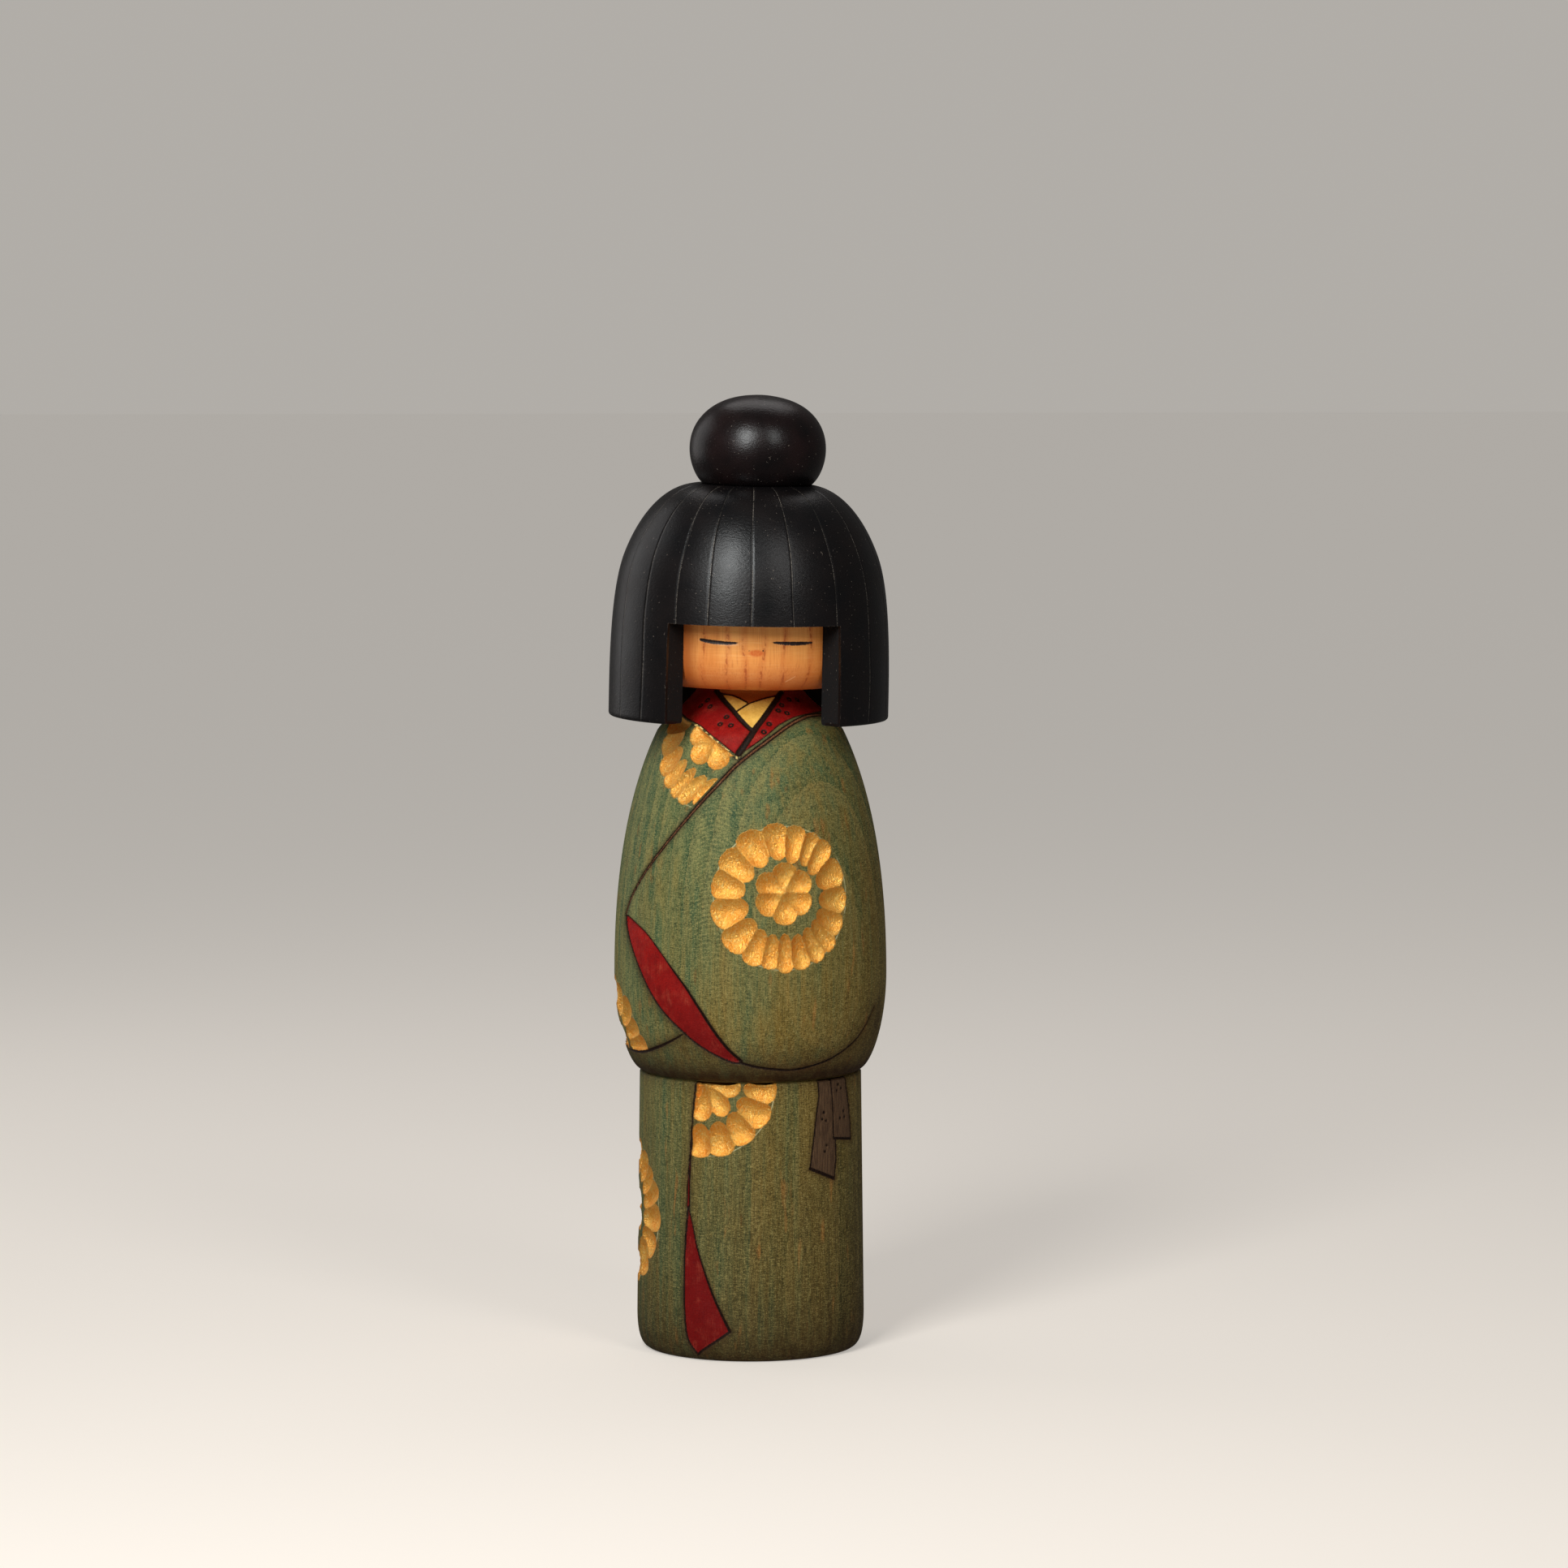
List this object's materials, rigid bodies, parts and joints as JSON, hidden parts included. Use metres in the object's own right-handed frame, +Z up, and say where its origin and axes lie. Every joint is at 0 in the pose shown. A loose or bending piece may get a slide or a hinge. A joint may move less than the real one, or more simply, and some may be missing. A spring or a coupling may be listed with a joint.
{
  "type": "kokeshi doll",
  "caption": "Turned wooden kokeshi doll: carved kimono body, round face set in a bobbed black hair cap that turns on the neck, and a topknot.",
  "frame": {"origin": "centre of the foot's flat underside, on the floor", "axes": "+Z up along the turned body, face looks along -Y, +X to the viewer's right"},
  "size_m": [0.0704, 0.0696, 0.24],
  "materials": {
    "kimono_wood": "thin green stain under satin varnish, carved and burnt decoration",
    "face_wood": "honey-coloured clear varnish over visible grain",
    "hair_lacquer": "satin black stain and lacquer with incised strands",
    "topknot_lacquer": "glossy brown-black lacquer",
    "dowel_wood": "bare pale wood"
  },
  "bodies": {
    "body": {"body": "kimono_wood"},
    "head": {"neck_dowel": "dowel_wood", "head_core": "face_wood", "hair_cap": "hair_lacquer", "topknot": "topknot_lacquer", "topknot_dowel": "dowel_wood"}
  },
  "joints": [
    {"name": "head_turn", "type": "hinge", "parent": "body", "child": "head", "pos_m": [0, 0, 0.185], "axis": [0.0192, 0, 0.9998], "continuous": true}
  ]
}
